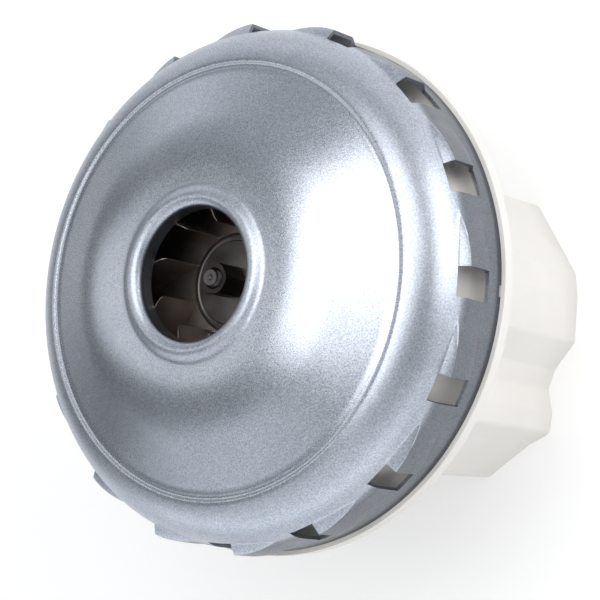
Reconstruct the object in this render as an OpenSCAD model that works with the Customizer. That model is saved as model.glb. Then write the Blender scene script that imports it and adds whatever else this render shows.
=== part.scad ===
// Vacuum motor unit: a universal motor in a moulded housing that drives one
// centrifugal fan under a pressed steel cover with louvred side outlets.
// It stands on the rear edge of its housing. Z runs along the shaft, from
// that edge up to the air inlet, and the shaft turns clockwise seen from there.

/* [Steel fan cover] */
// Thickness of the steel sheet
sheet_t = 1; // [0.8:0.1:1.4]
// Radius of the cover's straight skirt, outside
cover_r = 70.2; // [68:0.2:74]
// Radius of the round shoulder between skirt and top
shoulder_r = 11; // [9:0.5:12]
// Radius of the air inlet
inlet_r = 17.8; // [16:0.2:19]
// Outer radius of the rolled bead's section round the inlet
bead_r = 2.5; // [2.3:0.1:3]
// Length of the straight collar inside the inlet
collar_l = 3.5; // [3:0.1:3.8]
// Radius at which the flat ring round the inlet bends down into the dome
ring_r = 32.2; // [30:0.2:36]
// Rise of the flat ring from its bend to the bead
ring_rise = 1.6; // [1:0.1:2.4]
// Rise of the dome from its groove to the flat ring
dome_rise = 7.6; // [6:0.2:10]
// Crown of the dome above a straight line
dome_bow = 0.9; // [0.2:0.1:1.6]
// Width of the pressed groove round the dome
groove_w = 2.4; // [2:0.1:3.2]
// Depth of that groove
groove_d = 0.6; // [0.3:0.1:0.9]

/* [Side outlets] */
// Number of outlets round the skirt
outlet_count = 16; // [12:1:18]
// Width of an outlet
outlet_w = 7.7; // [6:0.1:9]
// Height of an outlet
outlet_h = 13.9; // [10:0.1:14.4]
// Height of the plain band below the outlets
band_h = 6; // [5:0.1:7]
// How far the end of each louvre is pushed outwards
louvre_push = 1.8; // [1:0.1:2.2]
// Angle over which a louvre rises from the skirt
louvre_span = 11.4; // [8:0.2:12]
// Number of notches in the cover's lower edge
notch_count = 4; // [2:1:8]
// Width of a notch
notch_w = 3; // [2:0.5:6]
// Depth of a notch
notch_d = 0.9; // [0.5:0.1:1.5]

/* [Impeller] */
// Thickness of the impeller discs
disc_t = 1; // [0.8:0.1:1.3]
// Height between the discs at the outer edge
blade_h = 4.9; // [4:0.1:7]
// Number of blades
blade_count = 9; // [6:1:11]
// Thickness of a blade
blade_t = 0.9; // [0.6:0.1:1.2]
// Gap between the clamping washer and the start of a blade
blade_gap = 1.1; // [0.8:0.1:2]
// Angle that a blade trails from its inner to its outer end
blade_sweep = 50; // [40:1:60]
// Radius of curvature of a blade
blade_curve = 50; // [45:1:70]
// Running gap below the impeller
back_gap = 2; // [1.8:0.1:3]
// Running gap between impeller and steel cover
front_gap = 1; // [0.8:0.1:1.6]
// Radius of the washer that clamps the impeller
hub_r = 13.6; // [12:0.1:14.2]
// Thickness of that washer
hub_t = 2; // [1.5:0.1:2.5]

/* [Shaft and bearings] */
// Radius of the shaft in the bearings
shaft_r = 4; // [3.6:0.1:4.2]
// Radius of the shaft inside the armature
core_seat_r = 5; // [4.6:0.1:5.4]
// Radius of the shaft at the impeller
tail_r = 3; // [2.8:0.1:3.2]
// Radius of the threaded end
thread_r = 2.5; // [2:0.1:2.6]
// Length of the threaded end above the nut
thread_over = 1.5; // [0.6:0.1:3]
// Width across the flats of the nut
nut_af = 8; // [7.5:0.1:9]
// Height of the nut
nut_h = 8.5; // [6:0.1:9]
// Outer radius of a bearing
bearing_r = 11; // [10.5:0.1:12]
// Width of a bearing
bearing_w = 7; // [6.5:0.1:8]
// Radius of the balls
ball_r = 1.98; // [1.8:0.02:2.1]
// Number of balls
ball_count = 7; // [6:1:7]

/* [Motor] */
// Radius of the armature core
armature_r = 19; // [18:0.2:20]
// Length of the armature and stator cores
core_l = 30; // [26:1:36]
// Number of armature slots
slot_count = 12; // [10:1:14]
// Height of each armature winding head
head_h = 7.5; // [6:0.5:9]
// Radius of the commutator
comm_r = 11.5; // [11:0.1:12.5]
// Length of the commutator
comm_l = 14.5; // [13.5:0.5:17]
// Number of commutator bars
comm_bars = 24; // [20:2:28]
// Width of the stator's slots beside the poles
coil_w = 7.2; // [6:0.1:9]
// Thickness of a field coil behind its pole
coil_t = 5.8; // [5:0.1:7]
// Thickness of the stator's yoke at the brush sides
yoke_w = 9.3; // [8:0.1:11]
// Thickness of the stator's yoke behind the coils
yoke_d = 6.5; // [5:0.1:8]
// How much the round corners take off the stator's half diagonal
corner_cut = 8.6; // [6:0.1:9]
// Air gap between armature and stator
air_gap = 0.6; // [0.5:0.1:0.8]
// Radius of the cooling fan
cooler_r = 31; // [26:1:33]
// Height of the cooling fan
cooler_h = 6.5; // [5:0.5:8]
// Number of cooling fan blades
cooler_blades = 9; // [7:1:13]

/* [Brushes] */
// Width of a brush along the commutator's edge
brush_w = 5; // [4:0.5:6]
// Height of a brush along the shaft
brush_h = 10; // [8:0.5:11]
// Length of a brush
brush_l = 18; // [14:1:19]
// Travel of a brush against its spring
brush_travel = 6; // [4:0.5:6]
// Wall of the brass brush tube
tube_t = 0.6; // [0.5:0.1:0.8]
// Wire thickness of the brush spring
spring_wire = 0.5; // [0.4:0.05:0.6]
// Number of turns of the brush spring
spring_turns = 6; // [4:1:7]

/* [Housing] */
// Wall of the housing
wall_t = 2.5; // [2:0.1:3]
// Room between the brush clips and the housing wall
brush_room = 5.3; // [4:0.1:8]
// Room between the stator core and the housing behind the coils
field_room = 8.5; // [8:0.1:12]
// Room between the stator core and the waist of the housing
stator_room = 0.7; // [0.5:0.1:3]
// How far the lobes beside the waist stand out
lobe_out = 1.8; // [1:0.1:3]
// Room between the terminal block and the slanted wall beside it
terminal_room = 1.4; // [1:0.1:3]
// Radius of the housing's edges
edge_r = 2.4; // [1:0.2:3]
// How far the mounting flange stands out past the steel cover
flange_lip = 1.2; // [0.8:0.1:6]
// Thickness of the mounting flange
flange_t = 3.5; // [3:0.1:5]
// Height of the register that centres the steel cover
register_h = 4.4; // [3.5:0.1:5]
// Gap between the face of the steel skirt and the drum behind the outlets
drum_gap = 5.8; // [5:0.1:8]
// Height of the drum's deck above the flange
deck_h = 16.6; // [16:0.1:20]
// Thickness of the rear cover
rear_t = 2; // [1.6:0.1:2.6]
// Depth of the rear cover inside the housing's rear edge
rear_in = 1.2; // [0.8:0.1:2]
// Number of cooling outlets on each side
vent_count = 5; // [3:1:5]
// Width of a cooling outlet
vent_w = 4; // [3:0.5:5]
// Length of a cooling outlet
vent_h = 14; // [8:1:18]

/* [Fits] */
// Gap at a seat or press fit
seat_gap = 0.02; // [0.01:0.01:0.04]
// Gap between pieces that are laid against each other
lay_gap = 0.1; // [0.05:0.05:0.2]
// Gap between brush and commutator
brush_gap = 0.3; // [0.2:0.05:0.4]
// Gap that a turning piece keeps from a fixed one beside it
turn_gap = 1.2; // [1:0.1:1.6]
// Radius of the housing screws
screw_r = 2; // [1.7:0.1:2.2]

/* [Hidden] */
$fn = 96;
eps = 0.01;

// Widths and heights that stay with the kind of piece
pocket_floor_t = 2;
head_room = 1.3;
retainer_t = 1.2;
shoulder_lead = 0.4;
dome_step = 0.4;
shaft_step = 0.4;

// Heights from the rear edge up to the deck
cooler_z = rear_in + rear_t + turn_gap;
rear_bearing_z = cooler_z + cooler_h + turn_gap;
comm_z = rear_bearing_z + bearing_w + turn_gap;
rear_head_z = comm_z + comm_l + turn_gap;
core_z = rear_head_z + head_h;
core_top = core_z + core_l;
front_bearing_z = core_top + head_h + turn_gap + pocket_floor_t + head_room;
deck_z = front_bearing_z + bearing_w + retainer_t;
rim_z = deck_z - deck_h;
brush_z = comm_z + comm_l / 2;

// Heights of the impeller and the steel cover
back_z = deck_z + back_gap;
blade_z = back_z + disc_t;
front_z = blade_z + blade_h;
valley_z = front_z + disc_t + front_gap + groove_d + sheet_t;
shoulder_z = valley_z - shoulder_r;
groove_out_r = cover_r - shoulder_r - shoulder_lead;
groove_in_r = groove_out_r - groove_w;
ring_z = valley_z + dome_step + dome_rise;
bead_mid_r = inlet_r + bead_r;
bead_z = ring_z + ring_rise + 0.2;
collar_z = bead_z - collar_l;
bead_top = bead_z + bead_r;
hub_z = blade_z + hub_t;
tip_z = hub_z + nut_h + thread_over;
step_z = back_z - shaft_step;

// Radii that follow
impeller_r = groove_in_r + 0.1;
blade_in_r = hub_r + blade_gap;
flange_r = cover_r + flange_lip;
drum_r = cover_r - drum_gap;
drum_in_r = drum_r - wall_t;
bore_r = armature_r + air_gap;
boss_r = bearing_r + 3.5;
comm_in_r = comm_r - 3;
tube_in_x = comm_r + 3;
clip_x = comm_r + brush_gap + brush_l + brush_travel + spring_turns * spring_wire + 1.4;

// Stator: slots beside the poles, yoke and stud
pole_w = bore_r + 0.9;
stator_slot_w = pole_w + coil_w;
stator_slot_d = bore_r + 0.8 + coil_t + 0.3;
stator_w = stator_slot_w + yoke_w;
stator_d = stator_slot_d + yoke_d;
stator_r = norm([stator_w, stator_d]) - corner_cut;
stud_x = stator_slot_w + yoke_w / 2;

// Half sizes of the housing: at the brushes, behind the coils, at waist and lobes
house_w = clip_x + brush_room + wall_t;
house_d = stator_d + field_room + wall_t;
waist_w = stator_w + stator_room + wall_t;
lobe_w = waist_w + lobe_out;
pillar_y = house_d - wall_t - 5.2;
pillar_r = 4.6;

// Slanted wall of the housing, and the terminal block that stands square to it
slant_from = [house_w - 1.1, 16];
slant_to = [33, house_d - 7.6];
slant_out = unit([slant_to.y - slant_from.y, slant_from.x - slant_to.x]);
terminal_d = 3.4;
terminal_turn = atan2(slant_out.y, slant_out.x);
terminal_x = slant_from * slant_out - wall_t - terminal_room - terminal_d;
arm_t = 2.5;
bridge_top = comm_z - turn_gap;
terminal_top = bridge_top - arm_t - lay_gap;

function unit(v) = v / norm(v);
function arc(mid, r, from, to, n) =
    [for (i = [0:n]) mid + r * [cos(from + (to - from) * i / n), sin(from + (to - from) * i / n)]];
function bow(p, q, rise, n) =
    let (d = q - p, up = unit([d.y, -d.x]))
    [for (i = [0:n]) let (t = i / n) p + d * t + up * rise * 4 * t * (1 - t)];
function reversed(list) = [for (i = [len(list) - 1:-1:0]) list[i]];

// Closed outline moved inwards by d, for points that run anticlockwise
function inset(pts, d) =
    let (n = len(pts))
    [for (i = [0:n - 1])
        let (e = unit(pts[i] - pts[(i + n - 1) % n]), f = unit(pts[(i + 1) % n] - pts[i]))
        let (m = [-e.y, e.x], k = [-f.y, f.x])
        pts[i] + (m + k) * d / (1 + m * k)];

// One corner of an outline as an arc of radius r
function corner(a, b, c, r, n) =
    let (u = unit(a - b), w = unit(c - b), half = acos(u * w) / 2)
    let (mid = b + unit(u + w) * r / sin(half), p = b + u * r / tan(half) - mid)
    let (q = b + w * r / tan(half) - mid, start = atan2(p.y, p.x))
    let (sweep = (atan2(q.y, q.x) - start + 540) % 360 - 180)
    arc(mid, r, start, start + sweep, n);
function rounded(pts, r, n) =
    let (m = len(pts))
    [for (i = [0:m - 1]) each corner(pts[(i + m - 1) % m], pts[i], pts[(i + 1) % m], r, n)];

// Right half of the housing's section, from the underside anticlockwise
house_half = [
    [4.5, -house_d],
    [22, -house_d],
    [lobe_w - 7, 10 - house_d],
    [lobe_w - 0.5, 13.4 - house_d],
    [lobe_w, 19.5 - house_d],
    [waist_w, 26.2 - house_d],
    [lobe_w, 32 - house_d],
    [house_w, -4],
    [house_w, 9],
    slant_from,
    slant_to
];
house_line = concat(house_half, [for (p = house_half) -p]);

// Line of the pressed cover, at depth d below its outer face
function cover_line(d) =
    concat(
        arc([cover_r - shoulder_r, shoulder_z], shoulder_r - d, 0, 90, 10),
        [[groove_out_r, valley_z - d]],
        [[groove_out_r - 0.6, valley_z - groove_d - d]],
        [[groove_in_r + 0.6, valley_z - groove_d - d]],
        bow([groove_in_r, valley_z + dome_step - d], [ring_r, ring_z - d], dome_bow, 8),
        [[bead_mid_r + bead_r + 0.8, ring_z + ring_rise - d]],
        arc([bead_mid_r, bead_z], bead_r - d, 0, 180, 10)
    );

module tube(r_out, r_in, z0, z1) {
    translate([0, 0, z0])
        difference() {
            cylinder(r = r_out, h = z1 - z0);
            translate([0, 0, -1])
                cylinder(r = r_in, h = z1 - z0 + 2);
        }
}

module block(x0, x1, y0, y1, z0, z1) {
    translate([x0, y0, z0])
        cube([x1 - x0, y1 - y0, z1 - z0]);
}

module both_sides() {
    children();
    rotate([0, 0, 180])
        children();
}

// Angle of an outlet's edge, and the sideways shift that pushes a louvre out
outlet_half = asin(outlet_w / 2 / cover_r);
louvre_shift = louvre_push / sin(louvre_span);
louvre_r = norm([cover_r, louvre_shift]);
louvre_from = atan2(cover_r * cos(louvre_span), cover_r * sin(louvre_span) - louvre_shift) - 3;
louvre_to = atan2(cover_r, -louvre_shift) + 1.5;
louvre_foot = rim_z + band_h - 0.5;
louvre_ledge = 3.2;
outlet_top = rim_z + band_h + outlet_h;

// Raised block under one louvre, at depth d below its outer face
module louvre_block(k, d) {
    turn = k * 360 / outlet_count + outlet_half + louvre_span - 90;
    inner = cover_r - 9;
    face = louvre_r - d;
    low = louvre_foot + d;
    high = outlet_top + 0.5 - d;
    rotate([0, 0, turn])
        translate([louvre_shift, 0, 0])
            rotate([0, 0, louvre_from])
                rotate_extrude(angle = louvre_to - louvre_from, $fn = 180)
                    polygon([
                        [inner, low],
                        [face - louvre_push, low],
                        [face, low + louvre_push * 2],
                        [face, high - louvre_ledge],
                        [face - louvre_push - 0.8, high],
                        [inner, high]
                    ]);
}

module fan_cover() {
    color("#b9c0c6")
        difference() {
            union() {
                rotate_extrude($fn = 180)
                    polygon(concat([[0, rim_z], [cover_r, rim_z]], cover_line(0), [[0, bead_z]]));
                for (k = [0:outlet_count - 1])
                    louvre_block(k, 0);
            }
            rotate_extrude($fn = 180)
                polygon(concat(
                    [[0, rim_z - 1], [cover_r - sheet_t, rim_z - 1]],
                    cover_line(sheet_t),
                    [[inlet_r + sheet_t, collar_z], [0, collar_z]]
                ));
            for (k = [0:outlet_count - 1]) {
                louvre_block(k, sheet_t);
                rotate([0, 0, k * 360 / outlet_count])
                    block(cover_r - 7, cover_r + 7, -outlet_w / 2, outlet_w / 2, rim_z + band_h, outlet_top);
            }
            translate([0, 0, collar_z - 1])
                cylinder(r = inlet_r, h = bead_top - collar_z + 2);
            for (k = [0:notch_count - 1])
                rotate([0, 0, k * 360 / notch_count])
                    block(cover_r - 4, cover_r + 4, -notch_w / 2, notch_w / 2, rim_z - 1, rim_z + notch_d);
        }
}

module impeller_back_disc() {
    color("#c9cdd0")
        tube(impeller_r, tail_r + seat_gap, back_z, blade_z);
}

// Underside of the front disc from the outer edge in to the eye
eye_bend = bead_r - 0.3;
eye_out_r = bead_mid_r + disc_t / 2;
front_top = ring_z - sheet_t - front_gap;
eye_low = front_top + ring_rise * 0.8;
function front_line(d) =
    concat(
        bow([impeller_r, front_z + disc_t - d], [ring_r, front_top - d], dome_bow, 8),
        arc([eye_out_r + eye_bend, eye_low + eye_bend], eye_bend + d, 270, 180, 5)
    );
eye_top = bead_z + bead_r - sheet_t - front_gap;

module impeller_front_disc() {
    color("#c9cdd0")
        rotate_extrude($fn = 120)
            polygon(concat(
                front_line(0),
                [[eye_out_r, eye_top], [eye_out_r - disc_t, eye_top]],
                reversed(front_line(disc_t))
            ));
}

// Centre of a blade's arc, from its two ends
blade_end = (impeller_r - 0.6) * [cos(blade_sweep), sin(blade_sweep)];
blade_chord = blade_end - [blade_in_r, 0];
blade_left = unit([-blade_chord.y, blade_chord.x]);
blade_sag = sqrt(pow(blade_curve, 2) - pow(norm(blade_chord) / 2, 2));
blade_mid = [blade_in_r, 0] + blade_chord / 2 + blade_left * blade_sag;
blade_from = atan2(-blade_mid.y, blade_in_r - blade_mid.x);
blade_to = atan2(blade_end.y - blade_mid.y, blade_end.x - blade_mid.x);

module impeller_blades() {
    room = [for (p = front_line(disc_t)) if (p.x > eye_out_r + 1) p - [0, lay_gap / 2]];
    floor_z = blade_z + lay_gap / 2;
    color("#c2c6c9")
        intersection() {
            for (k = [0:blade_count - 1])
                rotate([0, 0, k * 360 / blade_count])
                    translate([0, 0, back_z])
                        linear_extrude(bead_top - back_z)
                            polygon(concat(
                                arc(blade_mid, blade_curve + blade_t / 2, blade_from, blade_to, 12),
                                arc(blade_mid, blade_curve - blade_t / 2, blade_to, blade_from, 12)
                            ));
            rotate_extrude($fn = 120)
                polygon(concat(
                    [[blade_in_r, floor_z], [impeller_r - 0.2, floor_z]],
                    [[impeller_r - 0.2, front_z - lay_gap / 2]],
                    room
                ));
        }
}

module hub_washer() {
    color("#6d6f70")
        difference() {
            union() {
                translate([0, 0, blade_z])
                    cylinder(r = hub_r, h = hub_t - 0.6);
                translate([0, 0, hub_z - 0.6])
                    cylinder(r1 = hub_r, r2 = hub_r - 0.6, h = 0.6);
            }
            translate([0, 0, blade_z - 1])
                cylinder(r = tail_r + seat_gap, h = hub_t + 2);
        }
}

module shaft_nut() {
    color("#55585a")
        translate([0, 0, hub_z])
            difference() {
                intersection() {
                    cylinder(r = nut_af / sqrt(3), h = nut_h, $fn = 6);
                    translate([0, 0, -eps])
                        cylinder(r1 = nut_af, r2 = nut_af / sqrt(3) - 0.5, h = nut_h + 2 * eps);
                }
                translate([0, 0, -1])
                    cylinder(r = thread_r + seat_gap, h = nut_h + 2);
            }
}

// Spacer between the front bearing and the impeller, with a flange that backs the disc
spacer_r = shaft_r + 2;
spacer_flange_r = shaft_r + 8;
spacer_flange_t = back_gap - 0.8;

module shaft_spacer() {
    color("#8d9194")
        difference() {
            union() {
                translate([0, 0, front_bearing_z + bearing_w])
                    cylinder(r = spacer_r, h = back_z - front_bearing_z - bearing_w);
                translate([0, 0, back_z - spacer_flange_t])
                    cylinder(r = spacer_flange_r, h = spacer_flange_t);
            }
            translate([0, 0, front_bearing_z])
                cylinder(r = shaft_r + seat_gap, h = back_z - front_bearing_z + 1);
        }
}

// Shaft steps, as a radius and the height at which it starts
shaft_steps = [
    [tail_r, rear_in + rear_t + 0.6],
    [shaft_r, rear_bearing_z - 0.4],
    [core_seat_r, rear_bearing_z + bearing_w],
    [shaft_r, front_bearing_z],
    [tail_r, step_z],
    [thread_r, hub_z - 0.4]
];

module shaft() {
    color("#a9adb0")
        rotate_extrude()
            polygon(concat(
                [[0, shaft_steps[0][1]]],
                [for (i = [0:5]) each [
                    [shaft_steps[i][0], shaft_steps[i][1]],
                    [shaft_steps[i][0], i < 5 ? shaft_steps[i + 1][1] : tip_z - 0.6]
                ]],
                [[thread_r - 0.6, tip_z], [0, tip_z]]
            ));
}

ball_track = (shaft_r + bearing_r) / 2;
ring_wall = 2.1;

module bearing_race(r_out, r_in, z) {
    difference() {
        tube(r_out, r_in, z, z + bearing_w);
        translate([0, 0, z + bearing_w / 2])
            rotate_extrude()
                translate([ball_track, 0])
                    circle(r = ball_r + 2 * seat_gap, $fn = 48);
    }
}

module inner_ring(z) {
    color("#c4c8cb")
        bearing_race(shaft_r + ring_wall, shaft_r + seat_gap, z);
}

module outer_ring(z) {
    color("#c4c8cb")
        union() {
            bearing_race(bearing_r - seat_gap, bearing_r - ring_wall, z);
            for (shield_z = [z + 0.3, z + bearing_w - 0.7])
                tube(bearing_r - ring_wall + 0.5, shaft_r + ring_wall + 0.25, shield_z, shield_z + 0.4);
        }
}

module balls(z) {
    color("#d5d8da")
        for (k = [0:ball_count - 1])
            rotate([0, 0, k * 360 / ball_count])
                translate([ball_track, 0, z + bearing_w / 2])
                    sphere(r = ball_r, $fn = 32);
}

module front_bearing_inner_ring() {
    inner_ring(front_bearing_z);
}

module front_bearing_outer_ring() {
    outer_ring(front_bearing_z);
}

module front_bearing_balls() {
    balls(front_bearing_z);
}

module rear_bearing_inner_ring() {
    inner_ring(rear_bearing_z);
}

module rear_bearing_outer_ring() {
    outer_ring(rear_bearing_z);
}

module rear_bearing_balls() {
    balls(rear_bearing_z);
}

retainer_r = bearing_r + 8;
retainer_screw_x = bearing_r + 4.4;
retainer_screw_r = 1.5;
retainer_screw_l = 6.5;

module bearing_retainer() {
    color("#b4b8ba")
        difference() {
            tube(retainer_r, bearing_r - 1.5, deck_z - retainer_t, deck_z - lay_gap);
            for (k = [0:2])
                rotate([0, 0, k * 120])
                    translate([retainer_screw_x, 0, deck_z - 2 * retainer_t])
                        cylinder(r = retainer_screw_r + 2 * lay_gap, h = 3 * retainer_t);
        }
}

module retainer_screws() {
    color("#9a9ea1")
        for (k = [0:2])
            rotate([0, 0, k * 120])
                translate([retainer_screw_x, 0, 0]) {
                    translate([0, 0, deck_z - retainer_screw_l])
                        cylinder(r = retainer_screw_r, h = retainer_screw_l);
                    translate([0, 0, deck_z])
                        cylinder(r = retainer_screw_r + 1.1, h = 0.8);
                }
}

// Rubber sleeve round the rear bearing
sleeve_t = 1;

module bearing_sleeve() {
    color("#2b2b2b")
        tube(
            bearing_r + sleeve_t - seat_gap,
            bearing_r + seat_gap,
            rear_bearing_z + 0.2,
            rear_bearing_z + bearing_w - 0.2
        );
}

slot_r = 2.5;
slot_track = armature_r - 1.2 - slot_r;

module armature_core() {
    color("#8f8c88")
        difference() {
            tube(armature_r, core_seat_r + seat_gap, core_z, core_top);
            for (k = [0:slot_count - 1])
                rotate([0, 0, k * 360 / slot_count]) {
                    translate([slot_track, 0, core_z - 1])
                        cylinder(r = slot_r, h = core_l + 2, $fn = 32);
                    block(slot_track, armature_r + 1, -0.8, 0.8, core_z - 1, core_top + 1);
                }
        }
}

module winding_head(z, up) {
    low = up > 0 ? z + 0.3 : z - head_h + 0.3;
    high = low + head_h - 0.6;
    rotate_extrude()
        polygon([
            [core_seat_r + 0.6, low],
            [armature_r - 2, low],
            [armature_r - 1.2, low + 0.8],
            [armature_r - 1.2, high - 2.4],
            [armature_r - 3.6, high],
            [core_seat_r + 0.6, high]
        ]);
}

module armature_winding() {
    color("#a85a2a")
        union() {
            for (k = [0:slot_count - 1])
                rotate([0, 0, k * 360 / slot_count])
                    translate([slot_track, 0, core_z - 1])
                        cylinder(r = slot_r - 0.25, h = core_l + 2, $fn = 32);
            winding_head(core_top, 1);
            winding_head(core_z, -1);
        }
}

module commutator_bars() {
    color("#c0763f")
        difference() {
            union() {
                tube(comm_r, comm_in_r + seat_gap, comm_z, comm_z + comm_l);
                tube(comm_r + 1.6, comm_r - 1, comm_z + comm_l - 1.6, comm_z + comm_l);
            }
            for (k = [0:comm_bars - 1])
                rotate([0, 0, k * 360 / comm_bars])
                    block(comm_in_r - 1, comm_r + 3, -0.3, 0.3, comm_z - 1, comm_z + comm_l + 1);
        }
}

module commutator_core() {
    color("#3a2a22")
        tube(comm_in_r - seat_gap, core_seat_r + seat_gap, comm_z, comm_z + comm_l);
}

pole_tip_y = 6;

module stator_core() {
    color("#8b8781")
        difference() {
            intersection() {
                block(-stator_w, stator_w, -stator_d, stator_d, core_z, core_top);
                translate([0, 0, core_z])
                    cylinder(r = stator_r, h = core_l);
            }
            translate([0, 0, core_z - 1])
                cylinder(r = bore_r, h = core_l + 2);
            both_sides() {
                block(pole_w, stator_slot_w, -stator_slot_d, stator_slot_d, core_z - 1, core_top + 1);
                block(bore_r - 4, pole_w + 1, -pole_tip_y, pole_tip_y, core_z - 1, core_top + 1);
                translate([stud_x, 0, core_z - 1])
                    cylinder(r = screw_r + lay_gap, h = core_l + 2);
            }
        }
}

coil_over = head_h - 0.6;

module stator_coil() {
    low = core_z - coil_over;
    high = core_top + coil_over;
    for (s = [-1, 1])
        scale([s, 1, 1])
            block(pole_w + 0.3, stator_slot_w - 0.3, pole_tip_y + 2, stator_slot_d - 0.3, low, high);
    block(-pole_w - 1, pole_w + 1, bore_r + 0.8, stator_slot_d - 0.3, core_top + 0.3, high);
    block(-pole_w - 1, pole_w + 1, bore_r + 0.8, stator_slot_d - 0.3, low, core_z - 0.3);
}

module stator_coil_a() {
    color("#a85a2a")
        union()
            stator_coil();
}

module stator_coil_b() {
    color("#a85a2a")
        rotate([0, 0, 180])
            union()
                stator_coil();
}

stud_grip = 8;

module stator_screws() {
    color("#a4a8ab")
        both_sides()
            translate([stud_x, 0, 0]) {
                translate([0, 0, core_z - 1.5 * screw_r])
                    cylinder(r = screw_r + 1.6, h = 1.5 * screw_r);
                translate([0, 0, core_z - 1])
                    cylinder(r = screw_r, h = core_l + 1 + stud_grip);
            }
}

vent_pitch = vent_w * 1.8;
vent_top = rim_z - flange_t - 4;

module house_prism(d, z0, z1) {
    translate([0, 0, z0])
        linear_extrude(z1 - z0)
            polygon(rounded(inset(house_line, d), d > 0 ? edge_r / 2 : edge_r, 5));
}

module motor_housing() {
    color("#efede8")
        difference() {
            union() {
                difference() {
                    union() {
                        translate([0, 0, rim_z - flange_t])
                            cylinder(r = flange_r, h = flange_t, $fn = 180);
                        translate([0, 0, rim_z - 1])
                            cylinder(r = cover_r - sheet_t - seat_gap, h = register_h + 1, $fn = 180);
                        translate([0, 0, rim_z])
                            cylinder(r = drum_r, h = deck_h, $fn = 180);
                        house_prism(0, 0, rim_z - 1);
                    }
                    translate([0, 0, rim_z])
                        cylinder(r = drum_in_r, h = deck_h - wall_t, $fn = 180);
                    house_prism(wall_t, -1, rim_z + 1);
                }
                translate([0, 0, front_bearing_z - pocket_floor_t])
                    cylinder(r = boss_r, h = bearing_w + 2);
                for (k = [0:2])
                    rotate([0, 0, k * 120])
                        translate([retainer_screw_x, 0, deck_z - retainer_screw_l - 1.5])
                            cylinder(r = retainer_screw_r + 1.7, h = retainer_screw_l + 0.5);
                both_sides() {
                    translate([stud_x, 0, core_top])
                        cylinder(r = screw_r + 2.4, h = deck_z - core_top - 1);
                    difference() {
                        translate([0, pillar_y, comm_z - turn_gap])
                            cylinder(r = pillar_r, h = comm_l);
                        translate([0, pillar_y, comm_z - turn_gap - 1])
                            cylinder(r = screw_r + lay_gap, h = comm_l);
                    }
                }
            }
            translate([0, 0, front_bearing_z])
                cylinder(r = bearing_r, h = 20);
            translate([0, 0, front_bearing_z - 10])
                cylinder(r = bearing_r - 3, h = 20);
            translate([0, 0, deck_z - retainer_t])
                cylinder(r = retainer_r + lay_gap, h = 10);
            for (k = [0:2])
                rotate([0, 0, k * 120])
                    translate([retainer_screw_x, 0, deck_z - retainer_screw_l - 0.5])
                        cylinder(r = retainer_screw_r + seat_gap, h = 2 * retainer_screw_l);
            both_sides() {
                translate([stud_x, 0, core_top - 1])
                    cylinder(r = screw_r + seat_gap, h = stud_grip + 2);
                for (k = [0:vent_count - 1])
                    translate([vent_pitch * (k - (vent_count - 1) / 2), house_d - 12, vent_top - vent_h])
                        translate([-vent_w / 2, 0, 0])
                            cube([vent_w, 20, vent_h]);
            }
        }
}

bridge_z = rear_bearing_z - 0.6;
bridge_end_t = 4;
bridge_end_r = screw_r + 1.8;

module bearing_bridge() {
    color("#d9d4c8")
        difference() {
            union() {
                translate([0, 0, bridge_z])
                    cylinder(r = bearing_r + sleeve_t + 3, h = bridge_top - bridge_z);
                block(-6, 6, 1 - pillar_y, pillar_y - 1, bridge_top - bridge_end_t, bridge_top);
                both_sides()
                    translate([0, pillar_y, bridge_top - bridge_end_t])
                        cylinder(r = bridge_end_r, h = bridge_end_t);
                block(-clip_x, clip_x, -brush_w / 2 - 4, brush_w / 2 + 4, bridge_top - 3, bridge_top);
                terminal_place()
                    block(10, terminal_x + terminal_d, -8, 8, bridge_top - arm_t, bridge_top);
                both_sides()
                    for (s = [-1, 1])
                        translate([0, s * (brush_w / 2 + tube_t + lay_gap + 1) - 1, 0])
                            block(tube_in_x + 2, clip_x - 3, 0, 2, bridge_top - 1, brush_z + brush_h / 4);
            }
            translate([0, 0, rear_bearing_z])
                cylinder(r = bearing_r + sleeve_t, h = 2 * bearing_w);
            translate([0, 0, bridge_z - 1])
                cylinder(r = bearing_r - 2.5, h = 2 * bearing_w);
            both_sides()
                translate([0, pillar_y, bridge_top - 2 * bridge_end_t])
                    cylinder(r = screw_r + lay_gap, h = 3 * bridge_end_t);
        }
}

bridge_head = 2.6;

module bridge_screws() {
    color("#a4a8ab")
        both_sides()
            translate([0, pillar_y, 0]) {
                translate([0, 0, bridge_top - bridge_end_t - bridge_head])
                    cylinder(r = screw_r + 1.7, h = bridge_head);
                translate([0, 0, bridge_top - bridge_end_t - 1])
                    cylinder(r = screw_r, h = bridge_end_t + 5 * screw_r);
            }
}

tube_room = brush_w / 2 + lay_gap;
tube_rise = brush_h / 2 + lay_gap;

module brush_tube() {
    difference() {
        block(
            tube_in_x,
            clip_x,
            -tube_room - tube_t,
            tube_room + tube_t,
            brush_z - tube_rise - tube_t,
            brush_z + tube_rise + tube_t
        );
        block(tube_in_x - 1, clip_x + 1, -tube_room, tube_room, brush_z - tube_rise, brush_z + tube_rise);
    }
}

module brush_tube_a() {
    color("#c9a04c")
        brush_tube();
}

module brush_tube_b() {
    color("#c9a04c")
        rotate([0, 0, 180])
            brush_tube();
}

module brush_clip() {
    block(
        clip_x + lay_gap,
        clip_x + 0.9,
        -tube_room - tube_t,
        tube_room + tube_t,
        brush_z - tube_rise - tube_t,
        brush_z + tube_rise + 3
    );
}

module brush_clip_a() {
    color("#c9a04c")
        brush_clip();
}

module brush_clip_b() {
    color("#c9a04c")
        rotate([0, 0, 180])
            brush_clip();
}

module brush() {
    difference() {
        translate([comm_r - 2, -brush_w / 2, brush_z - brush_h / 2])
            cube([brush_l + brush_gap + 2, brush_w, brush_h]);
        translate([0, 0, brush_z - brush_h])
            cylinder(r = comm_r + brush_gap, h = 2 * brush_h);
    }
}

module brush_a() {
    color("#3b3b3d")
        brush();
}

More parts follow.
